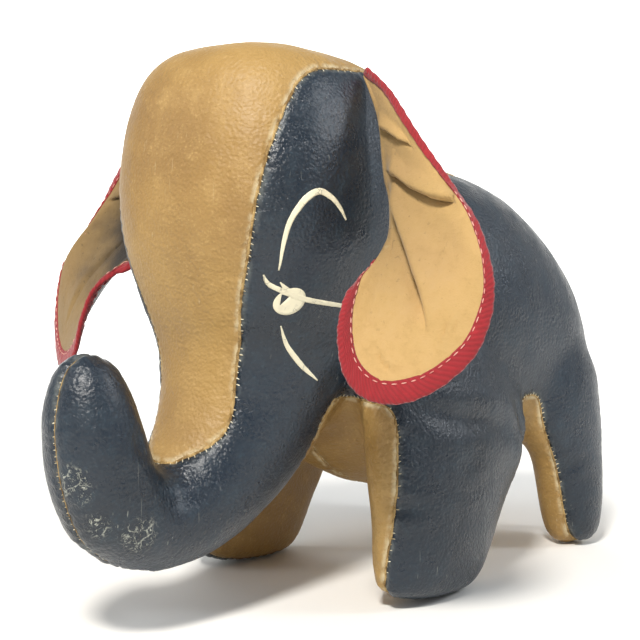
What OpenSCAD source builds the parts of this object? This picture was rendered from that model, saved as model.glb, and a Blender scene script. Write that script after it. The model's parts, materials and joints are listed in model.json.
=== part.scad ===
// Stuffed elephant sewn from flat leatherette panels, with hinged ears and tail.
// It faces -Y and stands on z = 0. Its left side is +X.

/* [Head and trunk] */
// Width of the head across the cheeks
head_w = 142; // [130:1:150]
// Depth of the head from forehead to nape
head_d = 154; // [144:1:162]
// Width of the trunk at its bend
trunk_w = 56; // [50:1:60]

/* [Body and legs] */
// Width of the body across the flanks
body_w = 150; // [142:1:158]
// Height of the back over the floor
back_h = 226; // [218:1:232]
// Distance of each leg's seam from the middle of the toy
leg_x = 63; // [58:1:65]
// Width of a leg over its stuffing
leg_w = 50; // [46:1:54]

/* [Leatherette] */
// Thickness of the leatherette
skin_t = 1.4; // [1.2:0.1:1.8]
// Half the width of the tan panel over the forehead
gusset_w = 51; // [46:1:54]
// Half the width of the tan strip along the back
strip_w = 23; // [18:1:26]
// Thickness of the painted eyes
paint_t = 0.3; // [0.2:0.1:0.4]

/* [Ears] */
// Thickness of one layer of an ear
ear_t = 1.1; // [0.8:0.1:1.3]
// How far the middle of an ear bulges forwards
ear_bulge = 14; // [8:1:16]
// Width of the binding tape on each face of an ear
tape_w = 9.5; // [8:0.5:11]
// Thickness of the binding tape
tape_t = 0.8; // [0.6:0.1:1]

/* [Tail] */
// Length of the tail
tail_l = 54; // [46:1:56]
// Width of the tail at its root
tail_w = 16; // [12:1:18]

/* [Stitching] */
// Distance between two stitches of the panel seams
stitch_pitch = 7.5; // [6:0.5:10]
// Distance between two stitches of an ear's binding
run_pitch = 9; // [7:0.5:12]
// Thickness of the thread
thread_d = 0.9; // [0.7:0.1:1.2]

/* [Hidden] */

navy = "#33465a";
tan = "#bd9450";
red = "#b02430";
cream = "#e3dcc0";

// Larger than the toy, for the shapes that cut it into panels
reach = 600;

// Middle line of the head and trunk from crown to trunk tip:
// y, z, half width, half depth across the line
head_line = [
    [-57, 281, 0, 0],
    [-57, 276, 32, 40],
    [-58, 264, 53, 61],
    [-60, 244, 63, 71],
    [-63, 214, 69, 74],
    [-65, 182, 69, 71.5],
    [-68, 150, 60, 61],
    [-74, 118, 46.5, 48],
    [-87, 90, 40, 43],
    [-110, 65, 33, 34],
    [-139, 52, 28, 26.5],
    [-162, 60, 27, 26.5],
    [-173, 80, 26.5, 26],
    [-178, 102, 24, 24],
    [-180, 117, 20, 20],
    [-181, 129, 13.5, 13.5],
    [-181, 136, 0, 0]];
// Station where the head ends and the trunk begins
trunk_from = 8;

// The body from chest to rump: y, half width, lowest z, highest z
body_line = [
    [-48, 40, 90, 198],
    [-19, 62, 58, 216],
    [18, 71, 42, 224],
    [56, 75, 42, 226],
    [95, 75, 47, 219],
    [130, 72, 53, 200],
    [156, 64, 58, 174],
    [176, 51, 65, 149],
    [189, 31, 77, 126],
    [195, 0, 101, 101.2]];

// A front leg from sole to shoulder: z, front y, rear y, share of the leg's width, inward shift
front_leg = [
    [0, -16, 20, 0.3, 0],
    [3, -36, 27, 0.58, 0],
    [10, -52, 33, 0.82, 0],
    [24, -54, 40, 0.95, 0],
    [48, -55, 58, 1, 0],
    [71, -55, 78, 1, 0],
    [98, -53, 78, 1.1, 7],
    [122, -44, 66, 1.1, 14]];
// A hind leg in the same way
hind_leg = [
    [0, 130, 150, 0.3, 3],
    [3, 124, 156, 0.56, 3],
    [10, 121, 161, 0.76, 3],
    [26, 118, 165, 0.82, 4],
    [50, 108, 168, 0.84, 5],
    [71, 93, 170, 0.88, 6],
    [98, 86, 172, 1, 10],
    [122, 88, 164, 1, 16]];

// How far the stuffing pushes the seams of the legs outwards
seam_out = 3;

// Length of a stitch over the edges of two panels
seam_stitch_l = 3.6;
// Height of the stitches' undersides over the smooth surface, which keeps them clear of its facets
stitch_lift = 0.1;

// How square the cross-sections are: 2 is an ellipse
head_square = 2.5;
trunk_square = 2.1;
back_square = 2.05;
belly_square = 2.15;
leg_square = 2;

// Half width of the tan panel over the face, as height and share of gusset_w
face_edge = [[300, 0.9], [268, 1], [246, 1.04], [206, 1], [179, 0.91], [145, 0.67],
             [117, 0.55], [92, 0.5], [85, 0.38], [79, 0.22], [73, 0.02]];
// Half width of the tan strip over the crown and along the back, as y and share of strip_w
back_edge = [[-57, 2.2], [-40, 1.98], [-20, 1.6], [0, 1.26], [25, 1.04], [60, 1], [110, 0.92],
             [140, 0.68], [162, 0.36], [178, 0.04]];
// Where the strip along the back is joined to the tan panel of the head
nape_y = -2;
// Where the tan panel ends inside the bend of the trunk
gusset_end_y = -139;

// Root of the left ear on the head, from top to bottom
ear_root = [[56.5, -49, 264], [67, -57, 240], [74, -60, 216], [76, -60, 196], [75.5, -58, 178]];
// Rim of the left ear, from the top of the root outwards and round to its bottom
ear_rim = [[60, -52, 267], [74, -59, 254], [89, -66, 236], [104, -69, 219], [118, -72, 204],
           [133, -76, 188], [142, -79, 168], [143, -81, 150], [137, -87, 131], [121, -98, 116],
           [104, -107, 113], [92, -111, 122], [87, -110, 140], [85, -102, 156], [82, -82, 168],
           [78, -65, 176]];
// Direction in which an ear bulges
bulge_dir = [0.86, -0.5, 0];
// Narrower than this, an ear bulges less
bulge_span = 90;
// Distance of the tape's inner face from the middle of an ear
tape_gap = ear_t + 0.5;
// Rows of points along an ear
ear_rows = 26;

// Where the tail is sewn in, and how far it leans back at rest
tail_root = [0, 177, 158];
tail_lean = 27;
tail_t = 3;

// Strokes of the eye on the left cheek: y, z, half width
brow = [[-112, 167, 0.5], [-113, 179, 0.9], [-111, 190, 1.2], [-105, 199.5, 1.5], [-98, 203, 1.6],
        [-92, 200.5, 1.5], [-87, 196, 1.3], [-83, 190, 1]];
lid = [[-118, 165.5, 0.4], [-114, 160.5, 0.8], [-107, 157, 1.1], [-99, 154, 1.3], [-90, 152, 1.3],
       [-78, 150, 1.2]];
lash = [[-110, 161.5, 0.4], [-106, 157.5, 1.2]];
cheek_line = [[-104, 141, 0.4], [-98, 131, 1], [-88, 121.5, 1.3], [-77, 113.5, 0.5]];
// Middle and size of the iris
iris = [-103.5, 152.5];
iris_r = 6;

// ---- curves ----------------------------------------------------------------

// Smooth curve through the points p, where u counts the points
function spline(p, u) =
    let (n = len(p) - 1, i = max(0, min(floor(u), n - 1)), t = u - i,
         a = p[max(i - 1, 0)], b = p[i], c = p[i + 1], d = p[min(i + 2, n)])
    0.5 * (2 * b + (c - a) * t + (2 * a - 5 * b + 4 * c - d) * t * t
           + (3 * b - a - 3 * c + d) * t * t * t);

function unit(v) = v / norm(v);

// Power that keeps the sign, for squared-off ellipses
function power(v, e) = sign(v) * pow(abs(v), e);

// Solid between rings of points that all have the same count. The sides listed as turned are
// cut into triangles along their other diagonal.
module skin_of(rings, turned = []) {
    n = len(rings[0]);
    m = len(rings);
    points = [for (ring = rings) for (p = ring) p];
    sides = [for (i = [0:m - 2]) for (j = [0:n - 1]) for (half = [0, 1])
        let (a = i * n + j, b = i * n + (j + 1) % n, c = b + n, d = a + n)
        len(search(j, turned)) > 0 ? (half == 0 ? [a, b, d] : [b, c, d])
                                   : (half == 0 ? [a, b, c] : [a, c, d])];
    first = [for (j = [n - 1:-1:0]) j];
    last = [for (j = [0:n - 1]) (m - 1) * n + j];
    polyhedron(points, concat(sides, [first, last]), convexity = 8);
}

// ---- head and trunk --------------------------------------------------------

function head_at(u) = spline(head_line, u);

// Direction of the head's middle line, and the side of it that the face is on
function head_along(u) =
    let (a = head_at(u - 0.05), b = head_at(u + 0.05))
    unit([0, b[0] - a[0], b[1] - a[1]]);
function head_front(u) =
    let (t = head_along(u))
    [0, t[2], -t[1]];

function head_half_w(u) =
    let (s = min(1, max(0, (u - trunk_from) / 3)))
    head_at(u)[2] * (head_w / 142 * (1 - s) + trunk_w / 56 * s);
function head_half_d(u) =
    let (s = min(1, max(0, (u - trunk_from) / 3)))
    head_at(u)[3] * (head_d / 154 * (1 - s) + trunk_w / 56 * s);
function head_exp(u) = u < trunk_from ? head_square : trunk_square;

// Point of the head's surface at station u, turned by angle a from the face
function head_point(u, a, inset) =
    let (c = head_at(u), e = 2 / head_exp(u),
         w = max(head_half_w(u) - inset, 0.3), d = max(head_half_d(u) - inset, 0.3),
         ends = max(0, 1 - u / 2.5) - max(0, 1 - (len(head_line) - 1 - u) / 1.5))
    [0, c[0], c[1]] + inset * ends * head_along(u)
    + d * power(cos(a), e) * head_front(u) + [w * power(sin(a), e), 0, 0];

// Angle at which the surface of station u is x from the middle of the toy
function head_angle(u, x) = asin(pow(min(1, x / head_half_w(u)), head_exp(u) / 2));

module head_solid(inset = 0) {
    from = 0.02;
    to = len(head_line) - 1.02;
    count = 30;
    skin_of([for (i = [0:count])
        let (u = from + (to - from) * i / count)
        [for (a = [0:360 / 22:359]) head_point(u, a, inset)]], [for (j = [11:21]) j]);
}

// ---- body and legs ---------------------------------------------------------

module body_solid(inset = 0) {
    to = len(body_line) - 1.02;
    count = 15;
    skin_of([for (i = [0:count])
        let (s = spline(body_line, to * i / count),
             shift = inset * max(0, 1 - (1 - i / count) * to / 1.5),
             w = max(s[1] * body_w / 150 - inset, 0.3),
             top = s[2] + (s[3] - s[2]) * (back_h - s[2]) / (226 - s[2]),
             h = max((top - s[2]) / 2 - inset, 0.3),
             mid = (top + s[2]) / 2)
        [for (a = [0:360 / 26:359.9])
            let (e = 2 / (cos(a) < 0 ? belly_square : back_square))
            [-w * power(sin(a), e), s[0] - shift, mid + h * power(cos(a), e)]]],
        [for (j = [13:25]) j]);
}

// One ring of a leg at station u of its list
function leg_ring(leg, u, inset, count) =
    let (s = spline(leg, u), half_l = max((s[2] - s[1]) / 2 - inset, 0.4),
         half_w = max(s[3] * leg_w / 2 - inset, 0.4), e = 2 / leg_square,
         z = s[0] + inset * max(0, 1 - s[0] / 20))
    [for (a = [0:360 / count:359])
        [leg_x - s[4] + half_w * power(cos(a), e), (s[1] + s[2]) / 2 + half_l * power(sin(a), e), z]];

// Foot and thigh of one left leg
module leg_solid(leg, inset = 0) {
    hull()
        skin_of([for (u = [0, 1, 1.5, 2, 3, 4]) leg_ring(leg, u, inset, 16)]);
    hull()
        skin_of([for (u = [3.9, 5, 6, 7]) leg_ring(leg, u, inset, 16)]);
}

// The whole stuffed shape, without ears and tail
module toy_solid(inset = 0) {
    head_solid(inset);
    body_solid(inset);
    for (side = [0, 1]) {
        mirror([side, 0, 0])
            leg_solid(front_leg, inset);
        mirror([side, 0, 0])
            leg_solid(hind_leg, inset);
    }
}

// ---- panels ----------------------------------------------------------------

// Extrudes an outline of y and z along X, over the width w
module along_x(w) {
    rotate([90, 0, 90])
        linear_extrude(w, center = true)
            children();
}

// Part of the shell that the tan panel of the head takes
module head_gusset_zone() {
    spine = [for (u = [0:1:9]) [head_at(u)[0], head_at(u)[1]]];
    right = [for (p = face_edge) [p[1] * gusset_w, p[0]]];
    left = [for (i = [len(face_edge) - 1:-1:0]) [-face_edge[i][1] * gusset_w, face_edge[i][0]]];
    intersection() {
        along_x(2 * reach)
            polygon(concat([[-57, 300]], spine, [[gusset_end_y, 62], [gusset_end_y, 84],
                                                 [-147, 140], [-reach / 2, 200], [-reach / 2, 300]]));
        rotate([90, 0, 0])
            linear_extrude(reach)
                polygon(concat(right, left));
    }
    intersection() {
        back_outline();
        along_x(2 * reach)
            polygon([[-57.2, 230], [nape_y, 150], [nape_y, 300], [-57.2, 300]]);
    }
}

// Outline of the strip along the back, seen from above
module back_outline() {
    right = [for (p = back_edge) [p[1] * strip_w, p[0]]];
    left = [for (i = [len(back_edge) - 1:-1:0]) [-back_edge[i][1] * strip_w, back_edge[i][0]]];
    linear_extrude(reach)
        polygon(concat(right, left));
}

module back_gusset_zone() {
    intersection() {
        back_outline();
        along_x(2 * reach)
            polygon([[nape_y, 140], [reach / 2, 140], [reach / 2, 300], [nape_y, 300]]);
    }
}

// Belly and the inner halves of the legs, from the middle of the toy to the leg seams
module under_zone() {
    intersection() {
        along_x(2 * (leg_x + seam_out))
            polygon([[-64, -5], [-64, 70], [-58, 103], [-20, 98], [60, 92], [150, 96], [190, 106],
                     [reach / 2, 104], [reach / 2, -5]]);
        translate([0, -reach / 2, -5])
            cube([reach, reach, reach]);
    }
}

// Shell of leatherette all over the toy
module shell() {
    difference() {
        toy_solid(0);
        toy_solid(skin_t);
    }
}

module left_side() {
    difference() {
        intersection() {
            shell();
            translate([0, -reach / 2, -5])
                cube([reach, reach, reach]);
        }
        head_gusset_zone();
        back_gusset_zone();
        under_zone();
    }
}

module left_under() {
    intersection() {
        shell();
        under_zone();
    }
}

module left_side_panel() {
    color(navy)
        left_side();
}

module right_side_panel() {
    color(navy)
        mirror([1, 0, 0])
            left_side();
}

module left_under_panel() {
    color(tan)
        left_under();
}

module right_under_panel() {
    color(tan)
        mirror([1, 0, 0])
            left_under();
}

module head_gusset() {
    color(tan)
        intersection() {
            shell();
            head_gusset_zone();
        }
}

module back_gusset() {
    color(tan)
        intersection() {
            shell();
            back_gusset_zone();
        }
}

module stuffing() {
    color("ivory")
        toy_solid(skin_t);
}

// ---- painted eyes ----------------------------------------------------------

// Stroke of paint through points y, z, r, where r is half its width
module stroke(points) {
    for (i = [0:len(points) - 2])
        hull()
            for (p = [points[i], points[i + 1]])
                translate([p[0], p[1]])
                    circle(p[2], $fn = 12);
}

module eye_outline() {
    stroke(brow);
    stroke(lid);
    stroke(lash);
    stroke(cheek_line);
    difference() {
        translate(iris)
            circle(iris_r, $fn = 28);
        translate(iris - [3.2, -1])
            circle(iris_r / 3, $fn = 3);
    }
}

module left_eye() {
    intersection() {
        difference() {
            head_solid(-paint_t);
            head_solid(0);
        }
        translate([100, 0, 0])
            along_x(200)
                eye_outline();
    }
}

module left_eye_paint() {
    color(cream)
        left_eye();
}

module right_eye_paint() {
    color(cream)
        mirror([1, 0, 0])
            left_eye();
}

// ---- stitches --------------------------------------------------------------

// Stitch that lies on a surface at p, along t and across n
module stitch(p, t, n, length) {
    s = unit(cross(n, t));
    multmatrix([[t[0], s[0], n[0], p[0]], [t[1], s[1], n[1], p[1]], [t[2], s[2], n[2], p[2]]])
        translate([-length / 2, -thread_d / 2, 0])
            cube([length, thread_d, thread_d]);
}

// Half width of the tan panel at the height of station u
function face_half_w(u) =
    lookup(head_at(u)[1], [for (i = [len(face_edge) - 1:-1:0])
                              [face_edge[i][0], face_edge[i][1] * gusset_w]]);

module gusset_stitches() {
    for (side = [-1, 1])
        for (u = [1.6:stitch_pitch / 30:8.6]) {
            a = side * head_angle(u, min(face_half_w(u), head_half_w(u) * 0.98));
            along = unit(head_point(u + 0.05, a, 0) - head_point(u - 0.05, a, 0));
            across = unit(head_point(u, a + 2, 0) - head_point(u, a - 2, 0));
            stitch(head_point(u, a, -stitch_lift), unit(across + along * 0.5),
                   unit(cross(across, along)), seam_stitch_l);
        }
}

module gusset_seam_stitching() {
    color(cream)
        difference() {
            gusset_stitches();
            toy_solid(0);
        }
}

module trunk_seam_stitching() {
    color(cream)
        difference() {
            for (u = [8.6:stitch_pitch / 24:15.6])
                stitch(head_point(u, 180, -stitch_lift), head_along(u), -head_front(u),
                       stitch_pitch / 2);
            toy_solid(0);
        }
}

// Stitches down the front and the back of each left leg
module leg_stitches() {
    for (leg = [front_leg, hind_leg])
        for (u = [2.2:stitch_pitch / 24:5.8])
            for (end = [4, 12]) {
                ring = leg_ring(leg, u, -stitch_lift, 16);
                next = leg_ring(leg, u + 0.05, -stitch_lift, 16);
                along = unit(next[end] - ring[end]);
                out = cross([end == 4 ? -1 : 1, 0, 0], along);
                stitch(ring[end] + [seam_out, 0, 0], [1, 0, 0], out, seam_stitch_l);
            }
}

module leg_seam_stitching() {
    color(cream)
        difference() {
            union() {
                leg_stitches();
                mirror([1, 0, 0])
                    leg_stitches();
            }
            toy_solid(0);
        }
}

// ---- ears ------------------------------------------------------------------

// Point of the left ear: s runs along root and rim, r from the root to the rim
function ear_point(s, r) =
    let (root = spline(ear_root, (len(ear_root) - 1) * pow(s, 0.7)),
         rim = spline(ear_rim, (len(ear_rim) - 1) * s),
         bulge = ear_bulge * sin(180 * s) * 4 * r * (1 - r) * min(1, norm(rim - root) / bulge_span))
    root + (rim - root) * r + bulge * bulge_dir;

// Outward side of the ear's front face
function ear_normal(s, r) =
    let (a = min(0.97, max(0.03, s)), b = min(0.95, max(0.05, r)),
         ds = ear_point(a + 0.02, b) - ear_point(a - 0.02, b),
         dr = ear_point(a, b + 0.04) - ear_point(a, b - 0.04))
    unit(cross(ds, dr));

// Value of s at one of the rows of points that an ear and its tape share
function ear_row(i) = 0.015 + 0.97 * i / ear_rows;

// One layer of an ear between the offsets low and high from its middle
module ear_layer(low, high) {
    columns = [0.03, 0.3, 0.6, 0.84, 0.985];
    skin_of([for (i = [0:ear_rows])
        let (s = ear_row(i))
        concat([for (j = [0:4]) ear_point(s, columns[j]) + high * ear_normal(s, columns[j])],
               [for (j = [4:-1:0]) ear_point(s, columns[j]) + low * ear_normal(s, columns[j])])],
        [5, 6, 7, 8]);
}

// Tape folded over the rim of an ear
module ear_tape() {
    in_face = tape_gap;
    out_face = in_face + tape_t;
    skin_of([for (i = [1:ear_rows - 1])
        let (s = ear_row(i), p = ear_point(s, 0.985), room = norm(ear_point(s, 1) - ear_point(s, 0)),
             r = max(0.3, 1 - tape_w / room), q = ear_point(s, r),
             n = ear_normal(s, 0.985), m = ear_normal(s, r),
             out = unit(cross(n, ear_point(s + 0.01, 0.985) - ear_point(s - 0.01, 0.985))))
        [q + m * in_face, q + m * out_face,
         p + out * 0.8 + n * out_face, p + out * (0.8 + tape_t) + n * in_face,
         p + out * (0.8 + tape_t) - n * in_face, p + out * 0.8 - n * out_face,
         q - m * out_face, q - m * in_face,
         p + out * 0.7 - n * in_face, p + out * 0.7 + n * in_face]],
        [5, 9]);
}

// Running stitch on the front face of the tape
module ear_run() {
    face = tape_gap + tape_t + 0.15;
    count = round(330 / run_pitch);
    for (i = [2:count - 2]) {
        s = i / count;
        room = norm(ear_point(s, 1) - ear_point(s, 0));
        r = max(0.5, 1 - 0.65 * tape_w / room);
        along = unit(ear_point(s + 0.01, r) - ear_point(s - 0.01, r));
        n = ear_normal(s, r);
        stitch(ear_point(s, r) + n * face, along, n, run_pitch * 0.5);
    }
}

module left_ear_front() {
    color(tan)
        ear_layer(0.05, ear_t);
}

module left_ear_back() {
    color(navy)
        difference() {
            ear_layer(-ear_t, -0.05);
            ear_layer(0, ear_t);
        }
}

module left_ear_binding() {
    color(red)
        ear_tape();
}

module left_ear_topstitch() {
    color(cream)
        difference() {
            ear_run();
            ear_tape();
        }
}

module right_ear_front() {
    mirror([1, 0, 0])
        left_ear_front();
}

module right_ear_back() {
    mirror([1, 0, 0])
        left_ear_back();
}

module right_ear_binding() {
    mirror([1, 0, 0])
        left_ear_binding();
}

module right_ear_topstitch() {
    mirror([1, 0, 0])
        left_ear_topstitch();
}

// ---- tail ------------------------------------------------------------------

module at_tail() {
    translate(tail_root)
        rotate([tail_lean, 0, 0])
            children();
}

// Strip of doubled leatherette, narrower at its end
module tail() {
    color(navy)
        at_tail()
            rotate([90, 0, 0])
                linear_extrude(tail_t, center = true)
                    hull() {
                        translate([-tail_w / 2, -4])
                            square([tail_w, 2]);
                        translate([0, -tail_l + tail_w / 4])
                            circle(tail_w / 4, $fn = 32);
                    }
}

module tail_stitching() {
    color(cream)
        at_tail()
            for (i = [0:4])
                translate([(i - 2) * tail_w / 6 - thread_d / 2, tail_t / 2, -12])
                    cube([thread_d, thread_d, 5]);
}

left_side_panel();
right_side_panel();
head_gusset();
back_gusset();
left_under_panel();
right_under_panel();
stuffing();
left_eye_paint();
right_eye_paint();
gusset_seam_stitching();
trunk_seam_stitching();
leg_seam_stitching();
left_ear_front();
left_ear_back();
left_ear_binding();
left_ear_topstitch();
right_ear_front();
right_ear_back();
right_ear_binding();
right_ear_topstitch();
tail();
tail_stitching();
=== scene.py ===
import json
import math
import random

import bmesh
import bpy
import numpy as np
from bpy.props import FloatProperty, FloatVectorProperty, PointerProperty
from mathutils import Matrix, Vector, noise
from mathutils.bvhtree import BVHTree
from mathutils.kdtree import KDTree


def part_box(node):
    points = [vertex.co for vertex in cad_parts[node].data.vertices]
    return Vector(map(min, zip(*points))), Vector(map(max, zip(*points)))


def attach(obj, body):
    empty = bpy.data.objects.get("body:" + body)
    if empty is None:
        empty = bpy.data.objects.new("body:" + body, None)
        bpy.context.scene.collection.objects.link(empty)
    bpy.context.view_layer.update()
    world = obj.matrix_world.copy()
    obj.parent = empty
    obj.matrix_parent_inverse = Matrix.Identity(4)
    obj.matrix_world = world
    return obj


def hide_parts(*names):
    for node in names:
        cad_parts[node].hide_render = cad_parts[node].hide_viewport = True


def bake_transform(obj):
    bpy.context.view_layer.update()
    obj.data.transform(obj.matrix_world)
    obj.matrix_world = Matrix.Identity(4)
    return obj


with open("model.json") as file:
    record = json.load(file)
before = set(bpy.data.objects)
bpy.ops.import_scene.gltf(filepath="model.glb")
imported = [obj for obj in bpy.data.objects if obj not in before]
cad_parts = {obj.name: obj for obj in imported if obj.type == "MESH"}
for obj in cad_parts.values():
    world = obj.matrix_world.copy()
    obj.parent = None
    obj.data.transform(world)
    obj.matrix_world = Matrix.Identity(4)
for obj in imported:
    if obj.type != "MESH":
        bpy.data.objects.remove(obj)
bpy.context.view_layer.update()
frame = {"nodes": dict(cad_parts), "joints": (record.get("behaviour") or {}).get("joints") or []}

bl_info = {
    "name": "Stuffed leatherette elephant",
    "version": (1, 0, 0),
    "blender": (4, 5, 0),
    "location": "View3D > Sidebar > Elephant",
    "description": "Sews, stuffs and finishes a toy elephant of leatherette around its packed parts",
    "category": "Object",
}

MM = 0.001
PANELS = ["left_side_panel", "right_side_panel", "head_gusset", "back_gusset",
          "left_under_panel", "right_under_panel"]
LEFT_SIDE, RIGHT_SIDE, HEAD_GUSSET, BACK_GUSSET, LEFT_UNDER, RIGHT_UNDER = range(6)
ON_SEAM = -1

# What one step of the making leaves for the next: the seams' paths and the finished skin
work = {}


def linear(hex_colour):
    """An sRGB hex colour as linear values with alpha."""
    channels = [int(hex_colour[i:i + 2], 16) / 255 for i in (1, 3, 5)]
    return tuple(c / 12.92 if c <= 0.04045 else ((c + 0.055) / 1.055) ** 2.4 for c in channels) + (1.0,)


# ---- sizes and colours ---------------------------------------------------------


class ElephantSizes(bpy.types.PropertyGroup):
    skin_thickness: FloatProperty(
        name="Leatherette", description="Thickness of the leatherette", default=1.4 * MM,
        min=0.5 * MM, max=3 * MM, unit="LENGTH")
    cloth_grid: FloatProperty(
        name="Cloth grid", description="Mesh size of the skin while it is inflated", default=4 * MM,
        min=3 * MM, max=8 * MM, unit="LENGTH")
    pressure: FloatProperty(
        name="Stuffing pressure", description="How hard the stuffing pushes on the skin", default=4.0,
        min=0, max=20)
    most_swelling: FloatProperty(
        name="Most swelling", description="Furthest that the stuffing may push the skin outwards",
        default=5.5 * MM, min=0, max=20 * MM, unit="LENGTH")
    seam_depth: FloatProperty(
        name="Seam depth", description="How far a seam is drawn in", default=0.9 * MM,
        min=0, max=3 * MM, unit="LENGTH")
    stitch_pitch: FloatProperty(
        name="Stitch pitch", description="Distance between the stitches over the panel edges",
        default=2.9 * MM, min=2 * MM, max=10 * MM, unit="LENGTH")
    stitch_length: FloatProperty(
        name="Stitch length", description="Length of a stitch over the panel edges",
        default=1.9 * MM, min=1 * MM, max=6 * MM, unit="LENGTH")
    thread_thickness: FloatProperty(
        name="Thread", description="Thickness of the sewing thread", default=0.55 * MM,
        min=0.3 * MM, max=2 * MM, unit="LENGTH")
    tape_width: FloatProperty(
        name="Binding", description="Width of the ear binding on each face", default=9.5 * MM,
        min=5 * MM, max=14 * MM, unit="LENGTH")
    run_pitch: FloatProperty(
        name="Running stitch", description="Distance between the stitches of the ear binding",
        default=4.6 * MM, min=3 * MM, max=12 * MM, unit="LENGTH")


class ElephantColours(bpy.types.PropertyGroup):
    navy: FloatVectorProperty(
        name="Navy leatherette", description="Colour of the side panels", subtype="COLOR", size=4,
        default=linear("#15222f"), min=0, max=1)
    tan: FloatVectorProperty(
        name="Tan leatherette", description="Colour of head panel, back strip and underside",
        subtype="COLOR", size=4, default=linear("#a38249"), min=0, max=1)
    ear_tan: FloatVectorProperty(
        name="Ear leather", description="Colour of the ear fronts", subtype="COLOR", size=4,
        default=linear("#b0905a"), min=0, max=1)
    red: FloatVectorProperty(
        name="Red binding", description="Colour of the tape round the ears", subtype="COLOR", size=4,
        default=linear("#8f101b"), min=0, max=1)
    cream: FloatVectorProperty(
        name="Cream thread", description="Colour of thread and painted eyes", subtype="COLOR", size=4,
        default=linear("#e3dcc0"), min=0, max=1)


# ---- materials -----------------------------------------------------------------


ATTRIBUTE, MAPPING, VECTORS = "ShaderNodeAttribute", "ShaderNodeMapping", "ShaderNodeVectorMath"
NOISE, CELLS, WAVE = "ShaderNodeTexNoise", "ShaderNodeTexVoronoi", "ShaderNodeTexWave"
MATH, RANGE, MIX, BUMP = "ShaderNodeMath", "ShaderNodeMapRange", "ShaderNodeMix", "ShaderNodeBump"
TIMES, PLUS = {"operation": "MULTIPLY"}, {"operation": "ADD"}
SMOOTH = {"interpolation_type": "SMOOTHSTEP"}
COLOURS = {"data_type": "RGBA"}


def add(tree, kind, inputs=(), out=None, **settings):
    """Adds a shader node and gives back its named output or its first one. The inputs are named, or a
    row in the node's own order, and each is a value or the socket it is linked to."""
    made = tree.nodes.new(kind)
    for key, value in settings.items():
        setattr(made, key, value)
    for key, value in inputs.items() if isinstance(inputs, dict) else enumerate(inputs):
        if isinstance(value, bpy.types.NodeSocket):
            tree.links.new(value, made.inputs[key])
        else:
            made.inputs[key].default_value = value
    if out:
        return made.outputs[out]
    return next((socket for socket in made.outputs if socket.enabled), None)


def start_material(name):
    material = bpy.data.materials.new(name)
    material.use_nodes = True
    tree = material.node_tree
    tree.nodes.clear()
    return material, tree, add(tree, "ShaderNodeTexCoord", out="Object")


def end_material(tree, inputs):
    add(tree, "ShaderNodeOutputMaterial", (add(tree, "ShaderNodeBsdfPrincipled", inputs),))


def blotches(size, detail=3.0, rough=0.55):
    """Settings of noise whose blotches have a real size in metres."""
    return {"Scale": 1 / size, "Detail": detail, "Roughness": rough}


def shade(colour, factor):
    return tuple(c * factor for c in colour[:3]) + (1.0,)


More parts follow.
